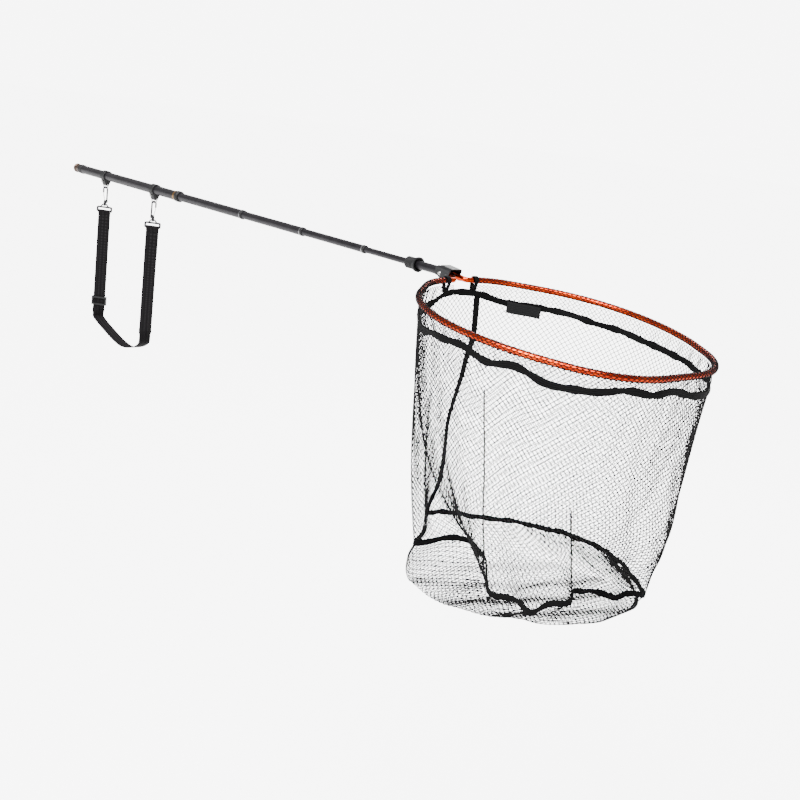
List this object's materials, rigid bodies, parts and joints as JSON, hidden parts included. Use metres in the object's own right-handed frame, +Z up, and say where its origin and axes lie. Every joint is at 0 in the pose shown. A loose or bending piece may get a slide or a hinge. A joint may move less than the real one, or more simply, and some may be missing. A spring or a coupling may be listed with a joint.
{
  "type": "landing net",
  "caption": "Folding landing net: telescopic pole with a hanging carry strap, hinged head bracket with lock sleeve, tube hoop and a deep netting bag.",
  "frame": {"origin": "on the pole's axis, in the middle of the grip length of the butt tube, halfway between the two strap clamps", "axes": "+X along the pole to the head, +Z up, out of the bag's mouth; +Y across"},
  "size_m": [2.2966, 0.5374, 0.571],
  "materials": {
    "pole_grey": "dark charcoal anodised, satin",
    "bronze_cap": "bronze anodised, satin",
    "black_plastic": "black moulded nylon, fine grain",
    "copper_trim": "copper anodised, knurled",
    "silver_trim": "bright turned",
    "steel": "bright zinc plated",
    "black_metal": "black powder coat",
    "hoop_orange": "orange-red anodised, glossy",
    "netting": "black knotted nylon twine",
    "tape": "black woven tape",
    "webbing": "black ribbed webbing",
    "tag": "plain woven tag"
  },
  "bodies": {
    "handle": {"butt_tube": "pole_grey", "butt_cap": "bronze_cap", "butt_ring": "black_plastic", "trim_ring_1": "copper_trim", "mouth_collar_1": "black_plastic", "strap_clamp_rear": "black_plastic", "strap_clamp_front": "black_plastic", "clamp_screws": "steel"},
    "section_two": {"section_2": "pole_grey", "trim_ring_2": "silver_trim", "mouth_lip_2": "black_plastic"},
    "section_three": {"section_3": "pole_grey", "trim_ring_3": "silver_trim", "mouth_lip_3": "black_plastic"},
    "section_four": {"section_4": "pole_grey", "trim_ring_4": "silver_trim", "mouth_lip_4": "black_plastic"},
    "tip": {"tip_tube": "pole_grey", "connector": "pole_grey"},
    "sleeve": {"lock_sleeve": "black_plastic"},
    "head": {"bracket": "black_metal", "hinge_pin": "steel", "arm_rivet": "black_metal", "hoop": "hoop_orange", "net_sleeve": "netting", "net_collar": "netting", "upper_band": "tape", "bag_wall": "netting", "lower_band": "tape", "bag_bottom": "netting", "seam_tape": "tape", "arm_ties": "tape", "label_tag": "tag"},
    "strap": {"d_ring_rear": "steel", "d_ring_front": "steel", "hook_body_rear": "black_metal", "hook_body_front": "black_metal", "strap_loop_rear": "black_metal", "strap_loop_front": "black_metal", "adjuster": "black_plastic", "strap_webbing": "webbing"},
    "gate_rear": {"hook_gate_rear": "steel"},
    "gate_front": {"hook_gate_front": "steel"}
  },
  "joints": [
    {"name": "extend_two", "type": "slide", "parent": "handle", "child": "section_two", "axis": [1, 0, 0], "range_m": [-0.3, 0.115]},
    {"name": "extend_three", "type": "slide", "parent": "section_two", "child": "section_three", "axis": [1, 0, 0], "range_m": [-0.245, 0.15]},
    {"name": "extend_four", "type": "slide", "parent": "section_three", "child": "section_four", "axis": [1, 0, 0], "range_m": [-0.22, 0.155]},
    {"name": "extend_tip", "type": "slide", "parent": "section_four", "child": "tip", "axis": [1, 0, 0], "range_m": [-0.137, 0.14]},
    {"name": "lock_slide", "type": "slide", "parent": "tip", "child": "sleeve", "axis": [-1, 0, 0], "range_m": [-0.0675, 0]},
    {"name": "head_fold", "type": "hinge", "parent": "tip", "child": "head", "pos_m": [1.35, 0, -0.002], "axis": [0, 1, 0], "range_deg": [0, 169], "deforming": ["net_collar", "upper_band", "bag_wall", "lower_band", "bag_bottom", "seam_tape", "label_tag"]},
    {"name": "strap_swing", "type": "hinge", "parent": "handle", "child": "strap", "pos_m": [0, 0, -0.0245], "axis": [1, 0, 0], "range_deg": [-70, 70]},
    {"name": "gate_rear_open", "type": "hinge", "parent": "strap", "child": "gate_rear", "pos_m": [-0.14764, -0.00064, -0.0744], "axis": [-0.7071, 0.7071, 0], "range_deg": [0, 15], "stiffness_Nm_per_rad": 0.02},
    {"name": "gate_front_open", "type": "hinge", "parent": "strap", "child": "gate_front", "pos_m": [0.14764, 0.00064, -0.0744], "axis": [0.7071, -0.7071, 0], "range_deg": [0, 15], "stiffness_Nm_per_rad": 0.02}
  ]
}
